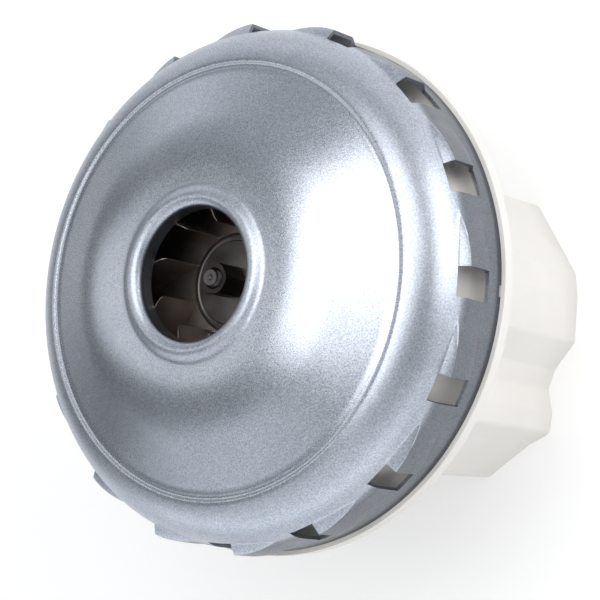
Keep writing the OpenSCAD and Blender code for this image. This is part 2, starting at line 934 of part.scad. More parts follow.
module brush_b() {
    color("#3b3b3d")
        rotate([0, 0, 180])
            brush();
}

// Brush spring: one wire swept along a helix round the brush axis
spring_r = brush_w / 2 - spring_wire / 2 - 0.15;
spring_from = comm_r + brush_gap + brush_l + lay_gap + spring_wire / 2;
spring_to = clip_x - lay_gap - spring_wire / 2;
spring_steps = spring_turns * 10;
spring_sides = 6;

function spring_centre(i) =
    let (t = i / spring_steps, turn = 360 * spring_turns * t)
    [spring_from + (spring_to - spring_from) * t, spring_r * cos(turn), spring_r * sin(turn)];
function spring_ring(i) =
    let (turn = 360 * spring_turns * i / spring_steps, out = [0, cos(turn), sin(turn)])
    [for (j = [0:spring_sides - 1])
        let (a = 360 * j / spring_sides)
        spring_centre(i) + spring_wire / 2 * (cos(a) * out + sin(a) * [1, 0, 0])];

module brush_spring() {
    last = spring_steps * spring_sides;
    translate([0, 0, brush_z])
        polyhedron(
            points = [for (i = [0:spring_steps]) each spring_ring(i)],
            faces = concat(
                [[for (j = [0:spring_sides - 1]) j]],
                [[for (j = [spring_sides - 1:-1:0]) last + j]],
                [for (i = [0:spring_steps - 1], j = [0:spring_sides - 1])
                    let (a = i * spring_sides, n = (j + 1) % spring_sides)
                    each [
                        [a + j, a + spring_sides + j, a + n],
                        [a + n, a + spring_sides + j, a + spring_sides + n]
                    ]]
            )
        );
}

module brush_spring_a() {
    color("#8f9396")
        brush_spring();
}

module brush_spring_b() {
    color("#8f9396")
        rotate([0, 0, 180])
            brush_spring();
}

// Block that holds the supply tabs under the bridge's arm
terminal_w = 9;
terminal_low = terminal_top - 7;
tab_at = 4.6;
tab_w = 6.3;
tab_t = 0.8;

module terminal_place() {
    rotate([0, 0, 180 + terminal_turn])
        children();
}

module tab(s, grow, z0, z1) {
    block(
        terminal_x - tab_t / 2 - grow,
        terminal_x + tab_t / 2 + grow,
        s * tab_at - tab_w / 2 - grow,
        s * tab_at + tab_w / 2 + grow,
        z0,
        z1
    );
}

module terminal_block() {
    color("#2f3133")
        terminal_place()
            difference() {
                block(
                    terminal_x - terminal_d,
                    terminal_x + terminal_d,
                    -terminal_w,
                    terminal_w,
                    terminal_low,
                    terminal_top
                );
                for (s = [-1, 1])
                    tab(s, seat_gap, terminal_low - 1, terminal_top + 1);
            }
}

module supply_terminals() {
    color("#c8cacb")
        terminal_place()
            for (s = [-1, 1])
                tab(s, 0, rear_in, terminal_top);
}

module cooling_fan() {
    color("#2d3a44")
        difference() {
            union() {
                translate([0, 0, cooler_z + cooler_h - 1.2])
                    cylinder(r = cooler_r, h = 1.2);
                translate([0, 0, cooler_z])
                    cylinder(r = 7.5, h = cooler_h);
                for (k = [0:cooler_blades - 1])
                    rotate([0, 0, k * 360 / cooler_blades])
                        block(13, cooler_r - 0.5, -0.6, 0.6, cooler_z, cooler_z + cooler_h - 0.6);
            }
            translate([0, 0, cooler_z - 1])
                cylinder(r = tail_r + seat_gap, h = cooler_h + 2);
        }
}

module rear_cover() {
    color("#ece9e2")
        difference() {
            union() {
                house_prism(wall_t + lay_gap, rear_in, rear_in + rear_t);
                both_sides()
                    translate([0, pillar_y, rear_in])
                        cylinder(r = 2.4, h = bridge_top - bridge_end_t - bridge_head - rear_in - lay_gap);
            }
            for (r = [12, 18, 24])
                for (k = [0:3])
                    rotate([0, 0, k * 90 + 12])
                        translate([0, 0, rear_in - 1])
                            rotate_extrude(angle = 66)
                                translate([r, 0])
                                    square([3, rear_t + 2]);
            terminal_place()
                block(
                    terminal_x - terminal_d,
                    terminal_x + terminal_d,
                    -terminal_w,
                    terminal_w,
                    rear_in - 1,
                    rear_in + rear_t + 1
                );
        }
}

fan_cover();
impeller_back_disc();
impeller_front_disc();
impeller_blades();
hub_washer();
shaft_nut();
shaft_spacer();
shaft();
front_bearing_inner_ring();
front_bearing_outer_ring();
front_bearing_balls();
bearing_retainer();
retainer_screws();
rear_bearing_inner_ring();
rear_bearing_outer_ring();
rear_bearing_balls();
bearing_sleeve();
armature_core();
armature_winding();
commutator_bars();
commutator_core();
stator_core();
stator_coil_a();
stator_coil_b();
stator_screws();
motor_housing();
bearing_bridge();
bridge_screws();
brush_tube_a();
brush_tube_b();
brush_clip_a();
brush_clip_b();
brush_spring_a();
brush_spring_b();
brush_a();
brush_b();
terminal_block();
supply_terminals();
cooling_fan();
rear_cover();
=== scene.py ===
# %% [markdown]
# # A vacuum motor unit
# The unit is a universal motor in a pale moulded housing. It drives one
# centrifugal fan under a pressed steel cover, and the air leaves through
# sixteen louvred outlets round the skirt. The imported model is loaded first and
# stays as it is: every piece below is made in the same place and in metres.

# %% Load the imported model
import math

import bmesh
import bpy
import numpy as np
from mathutils import Matrix, Vector


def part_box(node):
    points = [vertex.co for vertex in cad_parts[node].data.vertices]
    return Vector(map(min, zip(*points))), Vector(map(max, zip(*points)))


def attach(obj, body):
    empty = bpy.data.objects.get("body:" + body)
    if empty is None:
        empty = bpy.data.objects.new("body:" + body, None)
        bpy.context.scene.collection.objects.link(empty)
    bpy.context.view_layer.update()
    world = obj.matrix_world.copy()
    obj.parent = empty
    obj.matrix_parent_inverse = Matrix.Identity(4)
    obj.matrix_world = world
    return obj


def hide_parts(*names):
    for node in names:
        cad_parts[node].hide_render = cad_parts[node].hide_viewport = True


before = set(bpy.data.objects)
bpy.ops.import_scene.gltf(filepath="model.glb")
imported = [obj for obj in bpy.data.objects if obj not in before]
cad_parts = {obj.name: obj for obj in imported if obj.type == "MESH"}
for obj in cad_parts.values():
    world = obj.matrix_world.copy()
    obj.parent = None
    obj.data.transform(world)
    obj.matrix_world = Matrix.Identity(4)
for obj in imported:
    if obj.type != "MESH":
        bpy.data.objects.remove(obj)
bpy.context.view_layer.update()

# %% [markdown]
# ## The camera
# The photograph looks into the air inlet from the side, with a long lens from
# about 0.6 m, so near and far parts differ only a little in size. The three
# directions below are the picture's right, its up, and back to the lens.

# %% Camera at the photograph's angle
MM = 0.001
to_right = Vector((0.79884, 0.07487, -0.59687))
to_top = Vector((0.00692, 0.99102, 0.13357))
to_lens = Vector((0.60150, -0.11083, 0.79114))
lens_place = Vector((369.3, -68.7, 554.65)) * MM
lens = bpy.data.cameras.new("camera")
lens.sensor_width = 36.0
lens.lens = 133.05
lens.clip_start = 0.01
camera = bpy.data.objects.new("camera", lens)
bpy.context.scene.collection.objects.link(camera)
aim = Matrix((to_right, to_top, to_lens)).transposed().to_4x4()
camera.matrix_world = Matrix.Translation(lens_place) @ aim
bpy.context.scene.camera = camera
print("camera", [round(v, 3) for v in camera.location])

# %% [markdown]
# ## Small helpers
# A colour is written as it is seen on a screen, in sRGB hex, and the standard's
# own formula turns it to the linear light values that the shaders use.


# %% Colours
def linear(hex_colour):
    shares = [int(hex_colour[i : i + 2], 16) / 255 for i in (1, 3, 5)]
    return [s / 12.92 if s < 0.04045 else ((s + 0.055) / 1.055) ** 2.4 for s in shares] + [1.0]


print("white is", linear("#FFFFFF"))

# %% [markdown]
# A node's inputs are given as one dictionary. A number or colour is set on the
# socket itself, a socket is linked to it, and a node stands for its first
# output. One function adds any node in that way.


# %% Nodes
def wire(tree, node, inputs):
    for name, value in inputs.items():
        if isinstance(value, bpy.types.Node):
            value = value.outputs[0]
        if isinstance(value, bpy.types.NodeSocket):
            tree.links.new(value, node.inputs[name])
        else:
            node.inputs[name].default_value = value


def add(tree, kind, inputs=None, **settings):
    made = tree.nodes.new(kind)
    for name, value in settings.items():
        setattr(made, name, value)
    wire(tree, made, inputs or {})
    return made


print("node helpers ready")

# %% [markdown]
# Points are written in millimetres, as on a drawing, and become metres when the
# mesh is made. A mesh that is built from rows of points is sealed before use:
# points that meet are joined, and the faces are turned outward.


# %% Objects and meshes
join_distance = 1e-7


def new_object(name, mesh):
    piece = bpy.data.objects.new(name, mesh)
    bpy.context.scene.collection.objects.link(piece)
    return piece


def mesh_of(name, points_mm, faces):
    mesh = bpy.data.meshes.new(name)
    mesh.from_pydata([Vector(p) * MM for p in points_mm], [], faces)
    mesh.validate()
    return mesh


def sealed(mesh):
    shape = bmesh.new()
    shape.from_mesh(mesh)
    bmesh.ops.remove_doubles(shape, verts=shape.verts, dist=join_distance)
    bmesh.ops.recalc_face_normals(shape, faces=shape.faces)
    shape.to_mesh(mesh)
    shape.free()
    return mesh


print("mesh helpers ready")

# %% [markdown]
# ## Studio light
# Metal shows mostly what it reflects, so the metal in the photograph tells
# where its light stood: a soft box to the right of the lens, a taller one to
# its left, and a dim card at the far left. Each lamp is placed from the lens:
# degrees to the right of it and above it, then metres away, width, height, and
# how bright it looks, where 1 is a white surface. A lamp's power grows with its
# size. The fill light is for matt surfaces, and metal doesn't mirror it.

# %% Soft boxes
look_at = Vector((0, 0, 70)) * MM
white_watts = 4


def soft_box(name, right_deg, up_deg, away, wide, tall, brightness):
    a, e = math.radians(right_deg), math.radians(up_deg)
    way = to_right * math.sin(a) * math.cos(e)
    way += to_top * math.sin(e)
    way += to_lens * math.cos(a) * math.cos(e)
    lamp = bpy.data.lights.new(name, "AREA")
    lamp.shape = "RECTANGLE"
    lamp.size, lamp.size_y = wide, tall
    lamp.energy = white_watts * wide * tall * brightness
    box = new_object(name, lamp)
    box.location = look_at + way * away
    box.rotation_mode = "QUATERNION"
    box.rotation_quaternion = way.to_track_quat("Z", "Y")
    box.visible_camera = False
    print(name, "at", [round(v, 2) for v in box.location], "W", round(lamp.energy, 2))
    return box


soft_box("right_soft_box", 48, 23, 0.70, 0.56, 0.56, 1.75)
soft_box("upper_soft_box", -28, 19, 0.75, 0.56, 0.80, 1.8)
soft_box("left_card", -86, 8, 0.80, 0.24, 0.60, 0.60)
fill = soft_box("fill_light", 0, 20, 1.20, 1.00, 1.00, 0.20)
fill.visible_glossy = False

# %% [markdown]
# Between the lamps the metal mirrors the room. It is pale at the horizon and
# grey overhead, darker at the picture's far left, and lighter towards its
# bottom and top. Each row below is a side of the room: the axis that it lies
# along, where its change starts and stops, and the two shares of light. The
# lens itself sees plain white.

# %% Surroundings
bpy.context.scene.view_settings.view_transform = "Standard"
brightest = 1.35
world = bpy.data.worlds.new("studio")
bpy.context.scene.world = world
world.use_nodes = True
room = world.node_tree
room.nodes.clear()
heading = add(room, "ShaderNodeTexCoord").outputs["Generated"]
axes = add(room, "ShaderNodeSeparateXYZ", {0: heading})
level = None
for axis, start, stop, at_start, at_stop in (
    ("Z", 0.05, 0.50, 0.72, 0.33),
    ("X", -0.98, -0.75, 0.36, 1.0),
    ("Y", -0.70, -0.35, 2.8, 1.0),
    ("Y", 0.25, 0.70, 1.0, 1.5),
):
    side = add(room, "ShaderNodeMapRange", {
        "Value": axes.outputs[axis], "From Min": start, "From Max": stop,
        "To Min": at_start, "To Max": at_stop,
    }, interpolation_type="SMOOTHSTEP")
    both = {0: level, 1: side}
    level = add(room, "ShaderNodeMath", both, operation="MULTIPLY") if level else side
level = add(room, "ShaderNodeMath", {0: level, 1: brightest}, operation="MINIMUM")
around = add(room, "ShaderNodeBackground", {"Color": linear("#FAFCFF"), "Strength": level})
plain = add(room, "ShaderNodeBackground", {"Color": linear("#FFFFFF"), "Strength": 1.0})
seen = add(room, "ShaderNodeLightPath").outputs["Is Camera Ray"]
sky = add(room, "ShaderNodeMixShader", {0: seen, 1: around, 2: plain})
add(room, "ShaderNodeOutputWorld", {"Surface": sky})
print("world", len(room.nodes), "nodes")

# %% [markdown]
# The floor is a plain white sheet that the unit stands on. The unit's shadow
# falls on it from the lamps. The lens and the metal also see a little glow on
# it. For the lens that glow grows to full white away from the unit, so that
# the sheet reads as the photograph's white ground from every side. From below
# the sheet is clear, and it lights what stands within a few millimetres of it,
# so that the rear face can be seen.

# %% Floor sheet
floor_z, floor_half = -0.1, 3000
glow_start, glow_stop = 0.16, 0.50
glow_by_unit, glow_on_metal, glow_under = 0.20, 0.16, 0.7
under_mm = 8
signs = ((-1, -1), (1, -1), (1, 1), (-1, 1))
corners = [(x * floor_half, y * floor_half, floor_z) for x, y in signs]
floor = new_object("floor", mesh_of("floor", corners, [(0, 1, 2, 3)]))
paper = bpy.data.materials.new("white_paper_sweep")
paper.use_nodes = True
paper.cycles.emission_sampling = "NONE"
floor.data.materials.append(paper)
print("floor laid at z =", floor_z, "mm")

# %% Light that the sheet gives
sheet = paper.node_tree
sheet.nodes.clear()
spot = add(sheet, "ShaderNodeTexCoord").outputs["Object"]
away = add(sheet, "ShaderNodeVectorMath", {0: spot}, operation="LENGTH").outputs["Value"]
rise = add(sheet, "ShaderNodeMapRange", {
    "Value": away, "From Min": glow_start, "From Max": glow_stop,
    "To Min": glow_by_unit, "To Max": 1.0,
}, interpolation_type="SMOOTHSTEP")
matt = add(sheet, "ShaderNodeBsdfDiffuse", {"Color": linear("#F2F2F2")})
ray = add(sheet, "ShaderNodeLightPath")
lit = []
for strength in (rise, glow_on_metal):
    glow = add(sheet, "ShaderNodeEmission", {"Color": linear("#FFFFFF"), "Strength": strength})
    lit.append(add(sheet, "ShaderNodeAddShader", {0: matt, 1: glow}))
short = {0: ray.outputs["Ray Length"], 1: under_mm * MM}
near = add(sheet, "ShaderNodeMath", short, operation="LESS_THAN")
lift = add(sheet, "ShaderNodeEmission", {"Color": linear("#FFFFFF"), "Strength": glow_under})
under = add(sheet, "ShaderNodeNewGeometry").outputs["Backfacing"]
clear = add(sheet, "ShaderNodeBsdfTransparent")
look = matt
for share, other in (
    (ray.outputs["Is Camera Ray"], lit[0]),
    (ray.outputs["Is Glossy Ray"], lit[1]),
    (near, lift),
    (under, clear),
):
    look = add(sheet, "ShaderNodeMixShader", {0: share, 1: look, 2: other})
add(sheet, "ShaderNodeOutputMaterial", {"Surface": look})
print("sheet", len(sheet.nodes), "nodes")

# %% [markdown]
# ## Finishes
# Every finish starts from what the real one is and how its surface was made.
# Patterns lie on Object coordinates, which are the unit's own, so they stay on
# the piece from any side. Their sizes are real ones, in millimetres: per_mm
# gives the scale of a noise with grains of that size, and per_band that of a
# wave, which repeats 20 / 2π times in each of its units.

# %% Start of a finish
waves_per_unit = 20 / (2 * math.pi)


def new_finish(name, colour, **sockets):
    finish = bpy.data.materials.new(name)
    finish.use_nodes = True
    tree = finish.node_tree
    tree.nodes.clear()
    shader = add(tree, "ShaderNodeBsdfPrincipled", {"Base Color": linear(colour)})
    for socket, value in sockets.items():
        shader.inputs[socket.replace("_", " ")].default_value = value
    add(tree, "ShaderNodeOutputMaterial", {"Surface": shader})
    finish.diffuse_color = linear(colour)
    where = add(tree, "ShaderNodeTexCoord").outputs["Object"]
    return finish, tree, shader, where


def per_mm(size_mm):
    return 1000.0 / size_mm


def per_band(pitch_mm):
    return per_mm(pitch_mm) / waves_per_unit


print("a grain of 0.4 mm has scale", round(per_mm(0.4)))

# %% [markdown]
# **Zinc plated steel** is the cover. Bright zinc on rolled sheet gives a satin
# blue grey with a fine sparkle, because the crystals of the plating tilt a
# little from grain to grain. Larger clouds come from the plating bath.

# %% Zinc plated steel
zinc, tree, shader, where = new_finish("zinc_plated_steel", "#BAC3CF", Metallic=1.0)
clouds = add(tree, "ShaderNodeTexNoise", {
    "Vector": where, "Scale": per_mm(14), "Detail": 3.0, "Roughness": 0.6,
}).outputs["Fac"]
grain = add(tree, "ShaderNodeTexNoise", {
    "Vector": where, "Scale": per_mm(0.40), "Detail": 3.0, "Roughness": 0.8,
}).outputs["Fac"]
tone = add(tree, "ShaderNodeMixRGB", {0: clouds, 1: linear("#B0B8C4"), 2: linear("#C8CDD6")})
speck = add(tree, "ShaderNodeMapRange", {
    "Value": grain, "From Min": 0.36, "From Max": 0.64, "To Min": 0.68, "To Max": 1.26,
})
shade = add(tree, "ShaderNodeVectorMath", {0: tone, 1: speck}, operation="MULTIPLY")
print(zinc.name, "has clouds of 14 mm and a grain of 0.4 mm")

# %% [markdown]
# The plating's colour is darkened in three places, as painted shade: in a band
# just above the rim, on outward faces that stand upright, such as the skirt and
# louvres, and inside the bore of the inlet. The height, the way a face looks and
# the distance from the shaft find them. Inner faces look towards the shaft and stay bright.

# %% Painted shade on the plating
place = add(tree, "ShaderNodeSeparateXYZ", {0: where})
# Painted shade: a band just above the rim is darkened.
rim_painted_shade = add(tree, "ShaderNodeMapRange", {
    "Value": place.outputs["Z"], "From Min": 78.6 * MM, "From Max": 79.8 * MM,
    "To Min": 0.62, "To Max": 1.0,
})
normal = add(tree, "ShaderNodeTexCoord").outputs["Normal"]
facing = add(tree, "ShaderNodeSeparateXYZ", {0: normal})
# Painted shade: outward faces that stand upright, such as the skirt, are darker.
upright = add(tree, "ShaderNodeMapRange", {
    "Value": facing.outputs["Z"], "From Min": 0.10, "From Max": 0.34,
    "To Min": 0.37, "To Max": 1.0,
}, interpolation_type="SMOOTHSTEP")
flat = add(tree, "ShaderNodeCombineXYZ", {"X": place.outputs["X"], "Y": place.outputs["Y"]})
from_shaft = add(tree, "ShaderNodeVectorMath", {0: flat}, operation="LENGTH").outputs["Value"]
outward = add(tree, "ShaderNodeVectorMath", {0: normal, 1: flat}, operation="DOT_PRODUCT")
inner = add(tree, "ShaderNodeMath", {0: outward.outputs["Value"], 1: 0.0}, operation="LESS_THAN")
skirt_painted_shade = add(tree, "ShaderNodeMath", {0: upright, 1: inner}, operation="MAXIMUM")
# Painted shade: the wall of the bore is darkened.
bore = add(tree, "ShaderNodeMapRange", {
    "Value": from_shaft, "From Min": 17.9 * MM, "From Max": 18.3 * MM,
    "To Min": 0.40, "To Max": 1.0,
})
# The plating's tone is multiplied by the three painted shades.
painted_shade_tone = shade
for share in (rim_painted_shade, skirt_painted_shade, bore):
    painted_shade_tone = add(tree, "ShaderNodeVectorMath", {0: painted_shade_tone, 1: share}, operation="MULTIPLY")
print("dulled: rim, outside of the skirt, bore")

# %% [markdown]
# The press stretches the sheet most where it bends it, over the shoulder and in
# the rolled bead. The plating is rougher there, so reflections are softer.

# %% Gloss and grain of the plating
haze = add(tree, "ShaderNodeMapRange", {
    "Value": grain, "From Min": 0.3, "From Max": 0.7, "To Min": 0.22, "To Max": 0.30,
})
for start_mm, stop_mm, at_start, at_stop in ((58.6, 60.5, 0.0, 0.10), (23.0, 25.0, 0.12, 0.0)):
    drawn = add(tree, "ShaderNodeMapRange", {
        "Value": from_shaft, "From Min": start_mm * MM, "From Max": stop_mm * MM,
        "To Min": at_start, "To Max": at_stop,
    })
    haze = add(tree, "ShaderNodeMath", {0: haze, 1: drawn}, operation="ADD")
bump = add(tree, "ShaderNodeBump", {"Height": grain, "Strength": 0.10, "Distance": 0.2 * MM})
wire(tree, shader, {"Base Color": painted_shade_tone, "Roughness": haze, "Normal": bump})
print(zinc.name, len(tree.nodes), "nodes")

# %% [markdown]
# **Cream moulding compound** is the housing: a glass filled thermoset, pressed
# hot. It is nearly matt, a warm off-white, with faint flow clouds and a skin
# that is a little rough to the touch.

# %% Cream moulding compound
cream, tree, shader, where = new_finish(
    "cream_moulding_compound", "#EFEDE8", Specular_IOR_Level=0.4
)
flow = add(tree, "ShaderNodeTexNoise", {
    "Vector": where, "Scale": per_mm(22), "Detail": 4.0, "Distortion": 0.6,
}).outputs["Fac"]
skin = add(tree, "ShaderNodeTexNoise", {
    "Vector": where, "Scale": per_mm(0.7), "Detail": 2.0,
}).outputs["Fac"]
tone = add(tree, "ShaderNodeMixRGB", {0: flow, 1: linear("#E2DFD9"), 2: linear("#EEEBE7")})
gloss = add(tree, "ShaderNodeMapRange", {"Value": flow, "To Min": 0.42, "To Max": 0.55})
bump = add(tree, "ShaderNodeBump", {"Height": skin, "Strength": 0.12, "Distance": 0.2 * MM})
wire(tree, shader, {"Base Color": tone, "Roughness": gloss, "Normal": bump})
print(cream.name, len(tree.nodes), "nodes")

# %% [markdown]
# The fan inside is **mill finish aluminium**, with the fine lines of rolling.
# The air has left a brown film of carbon dust on it in patches.

# %% Mill finish aluminium
aluminium, tree, shader, where = new_finish("mill_finish_aluminium", "#B9B8B5", Metallic=1.0)
stretch = add(tree, "ShaderNodeMapping", {"Vector": where, "Scale": (1.0, 12.0, 1.0)})
lines = add(tree, "ShaderNodeTexNoise", {
    "Vector": stretch, "Scale": per_mm(4), "Detail": 3.0,
}).outputs["Fac"]
film = add(tree, "ShaderNodeTexNoise", {
    "Vector": where, "Scale": per_mm(9), "Detail": 3.0,
}).outputs["Fac"]
tone = add(tree, "ShaderNodeMixRGB", {0: film, 1: linear("#7F726C"), 2: linear("#CBC2BD")})
gloss = add(tree, "ShaderNodeMapRange", {"Value": lines, "To Min": 0.28, "To Max": 0.50})
bump = add(tree, "ShaderNodeBump", {"Height": lines, "Strength": 0.08, "Distance": 0.2 * MM})
wire(tree, shader, {"Base Color": tone, "Roughness": gloss, "Normal": bump})
print(aluminium.name, len(tree.nodes), "nodes")

# %% [markdown]
# The clamping washer is **blackened steel**: a thin oxide that is nearly black,
# with brown where it has thinned, and a low oily sheen. The nut is **oiled
# black steel**, darker still, because its oxide is thicker and keeps its oil.
# In this table and those that follow, a finish has two values of roughness: one
# for its smoothest spots and one for its roughest.

# %% Blackened steels
blacks = {}
for name, dark, light, smoothest, roughest in (
    ("blackened_steel", "#4C4A4A", "#807A78", 0.32, 0.50),
    ("oiled_black_steel", "#2A2627", "#4B4342", 0.34, 0.52),
):
    blacks[name], tree, shader, where = new_finish(name, light, Metallic=1.0)
    oxide = add(tree, "ShaderNodeTexNoise", {
        "Vector": where, "Scale": per_mm(5), "Detail": 4.0,
    }).outputs["Fac"]
    pits = add(tree, "ShaderNodeTexNoise", {
        "Vector": where, "Scale": per_mm(0.6), "Detail": 2.0,
    }).outputs["Fac"]
    tone = add(tree, "ShaderNodeMixRGB", {0: oxide, 1: linear(dark), 2: linear(light)})
    gloss = add(tree, "ShaderNodeMapRange", {
        "Value": oxide, "To Min": smoothest, "To Max": roughest,
    })
    bump = add(tree, "ShaderNodeBump", {"Height": pits, "Strength": 0.10, "Distance": 0.2 * MM})
    wire(tree, shader, {"Base Color": tone, "Roughness": gloss, "Normal": bump})
print("black steels:", ", ".join(blacks))

# %% [markdown]
# Shaft, bearings, screws, springs and spacers are bright steel. The tool left
# **turned rings** across the shaft, so the height along the axis drives a
# fine wave. Ground rings, rolled screws and drawn wire differ in how fine the
# wave is and how much light they scatter, so one loop makes the four.

# %% Bright steels
steels = {}
for name, dark, light, pitch_mm, smoothest, roughest in (
    ("turned_steel", "#454342", "#706D6C", 0.35, 0.29, 0.46),
    ("ground_bearing_steel", "#B9BCBE", "#D2D2D0", 0.20, 0.09, 0.26),
    ("passivated_screw_steel", "#A7AAAC", "#C8C8C6", 0.50, 0.27, 0.44),
    ("drawn_spring_steel", "#8A8D90", "#B4B4B2", 0.40, 0.23, 0.40),
):
    steels[name], tree, shader, where = new_finish(name, light, Metallic=1.0)
    rings = add(tree, "ShaderNodeTexWave", {
        "Vector": where, "Scale": per_band(pitch_mm), "Distortion": 0.6,
    }, bands_direction="Z").outputs["Fac"]
    wear = add(tree, "ShaderNodeTexNoise", {
        "Vector": where, "Scale": per_mm(3), "Detail": 3.0,
    }).outputs["Fac"]
    tone = add(tree, "ShaderNodeMixRGB", {0: wear, 1: linear(dark), 2: linear(light)})
    gloss = add(tree, "ShaderNodeMapRange", {
        "Value": wear, "To Min": smoothest, "To Max": roughest,
    })
    bump = add(tree, "ShaderNodeBump", {"Height": rings, "Strength": 0.10, "Distance": 0.1 * MM})
    wire(tree, shader, {"Base Color": tone, "Roughness": gloss, "Normal": bump})
print("bright steels:", ", ".join(steels))

# %% [markdown]
# The cores are **stacked laminations**: half-millimetre sheets of silicon
# steel with a bluish oxide, whose cut edges show as fine lines along the
# shaft, with a trace of brown from the varnish dip.

# %% Stacked laminations
laminations, tree, shader, where = new_finish(
    "stacked_laminations", "#86837F", Metallic=0.85, Roughness=0.46
)
sheets = add(tree, "ShaderNodeTexWave", {
    "Vector": where, "Scale": per_band(0.5), "Distortion": 0.15,
}, bands_direction="Z", wave_profile="SIN").outputs["Fac"]
dip = add(tree, "ShaderNodeTexNoise", {
    "Vector": where, "Scale": per_mm(8), "Detail": 3.0,
}).outputs["Fac"]
tone = add(tree, "ShaderNodeMixRGB", {0: dip, 1: linear("#6E6259"), 2: linear("#9A9A9B")})
bump = add(tree, "ShaderNodeBump", {"Height": sheets, "Strength": 0.35, "Distance": 0.1 * MM})
wire(tree, shader, {"Base Color": tone, "Normal": bump})
print(laminations.name, len(tree.nodes), "nodes")

# %% [markdown]
# The coils are **enamelled copper** wire: metal seen through a clear amber
# coat, wound slantwise. The commutator is bare **hard drawn copper**, polished
# by the brushes and streaked dark by them. Brush tubes are **rolled brass**,
# and the supply tabs **tinned brass**. The last number says how deep the lines
# are: a winding stands up clearly, a drawing line hardly at all.

# %% Copper and brass
coppers = {}
for name, dark, light, smoothest, roughest, coat, pitch_mm, bands, relief in (
    ("enamelled_copper", "#7E3A17", "#C06A34", 0.28, 0.44, 0.7, 0.7, "DIAGONAL", 0.60),
    ("hard_drawn_copper", "#9A5A38", "#C98559", 0.18, 0.34, 0.0, 0.4, "Z", 0.08),
    ("rolled_brass", "#B08A3C", "#D6B062", 0.24, 0.40, 0.0, 0.6, "Z", 0.08),
    ("tinned_brass", "#B4B2A8", "#D8D8D4", 0.22, 0.38, 0.0, 0.6, "Z", 0.08),
):
    coppers[name], tree, shader, where = new_finish(
        name, light, Metallic=1.0, Coat_Weight=coat, Coat_Roughness=0.2
    )
    wear = add(tree, "ShaderNodeTexNoise", {
        "Vector": where, "Scale": per_mm(4), "Detail": 4.0,
    }).outputs["Fac"]
    wires = add(tree, "ShaderNodeTexWave", {
        "Vector": where, "Scale": per_band(pitch_mm), "Distortion": 0.4,
    }, bands_direction=bands).outputs["Fac"]
    tone = add(tree, "ShaderNodeMixRGB", {0: wear, 1: linear(dark), 2: linear(light)})
    gloss = add(tree, "ShaderNodeMapRange", {
        "Value": wear, "To Min": smoothest, "To Max": roughest,
    })
    bump = add(tree, "ShaderNodeBump", {
        "Height": wires, "Strength": relief, "Distance": 0.3 * MM,
    })
    wire(tree, shader, {"Base Color": tone, "Roughness": gloss, "Normal": bump})
print("coppers and brasses:", ", ".join(coppers))

# %% [markdown]
# The rest is dull and dark: **black nylon** for the terminal block, **slate
# nylon** for the rear fan, **moulded rubber** for the bearing sleeve, **baked
# phenolic** in the commutator and **pressed carbon** for the brushes. Each has
# its own grain, and carbon glints a little where it has been rubbed.

# %% Dark mouldings and carbon
dull = {}
for name, dark, light, smoothest, roughest, grain_mm, metallic in (
    ("black_nylon", "#1F2124", "#2C2F33", 0.34, 0.50, 0.8, 0.0),
    ("slate_nylon", "#25303A", "#35424D", 0.32, 0.48, 0.8, 0.0),
    ("moulded_rubber", "#1B1B1B", "#282726", 0.64, 0.80, 0.5, 0.0),
    ("baked_phenolic", "#2B1B14", "#43291D", 0.37, 0.53, 1.2, 0.0),
    ("pressed_carbon", "#262628", "#3D3D40", 0.42, 0.58, 0.4, 0.25),
):
    dull[name], tree, shader, where = new_finish(name, light, Metallic=metallic)
    mottle = add(tree, "ShaderNodeTexNoise", {
        "Vector": where, "Scale": per_mm(6), "Detail": 4.0,
    }).outputs["Fac"]
    skin = add(tree, "ShaderNodeTexNoise", {
        "Vector": where, "Scale": per_mm(grain_mm), "Detail": 2.0,
    }).outputs["Fac"]
    tone = add(tree, "ShaderNodeMixRGB", {0: mottle, 1: linear(dark), 2: linear(light)})
    gloss = add(tree, "ShaderNodeMapRange", {
        "Value": mottle, "To Min": smoothest, "To Max": roughest,
    })
    bump = add(tree, "ShaderNodeBump", {"Height": skin, "Strength": 0.2, "Distance": 0.2 * MM})
    wire(tree, shader, {"Base Color": tone, "Roughness": gloss, "Normal": bump})
print("dark materials:", ", ".join(dull))

# %% [markdown]
# ## Repeating a piece round the shaft
# The cover and the fan blades each repeat one shape round the shaft. Geometry
# Nodes do that: a point for each copy, the shape on each point, and each copy
# turned by its own number. The copies are then made real, their touching edges
# welded, and the finish set, so that one mesh comes out.

# %% The tree that repeats a shape round the shaft
ring_tree = bpy.data.node_groups.new("repeat_round_shaft", "GeometryNodeTree")
for label, in_out, kind in (
    ("Geometry", "INPUT", "NodeSocketGeometry"),
    ("Copies", "INPUT", "NodeSocketInt"),
    ("Weld distance", "INPUT", "NodeSocketFloat"),
    ("Finish", "INPUT", "NodeSocketMaterial"),
    ("Geometry", "OUTPUT", "NodeSocketGeometry"),
):
    ring_tree.interface.new_socket(label, in_out=in_out, socket_type=kind)
given = add(ring_tree, "NodeGroupInput").outputs
points = add(ring_tree, "GeometryNodePoints", {"Count": given["Copies"]})
number = add(ring_tree, "GeometryNodeInputIndex")
full_turn = {0: 2 * math.pi, 1: given["Copies"]}
step = add(ring_tree, "ShaderNodeMath", full_turn, operation="DIVIDE")
turn = add(ring_tree, "ShaderNodeMath", {0: number, 1: step}, operation="MULTIPLY")
turns = add(ring_tree, "ShaderNodeCombineXYZ", {"Z": turn})
copies = add(ring_tree, "GeometryNodeInstanceOnPoints", {
    "Points": points, "Instance": given["Geometry"], "Rotation": turns,
})
real = add(ring_tree, "GeometryNodeRealizeInstances", {0: copies})
weld = add(ring_tree, "GeometryNodeMergeByDistance", {
    "Geometry": real, "Distance": given["Weld distance"],
})
coated = add(ring_tree, "GeometryNodeSetMaterial", {
    "Geometry": weld, "Material": given["Finish"],
})
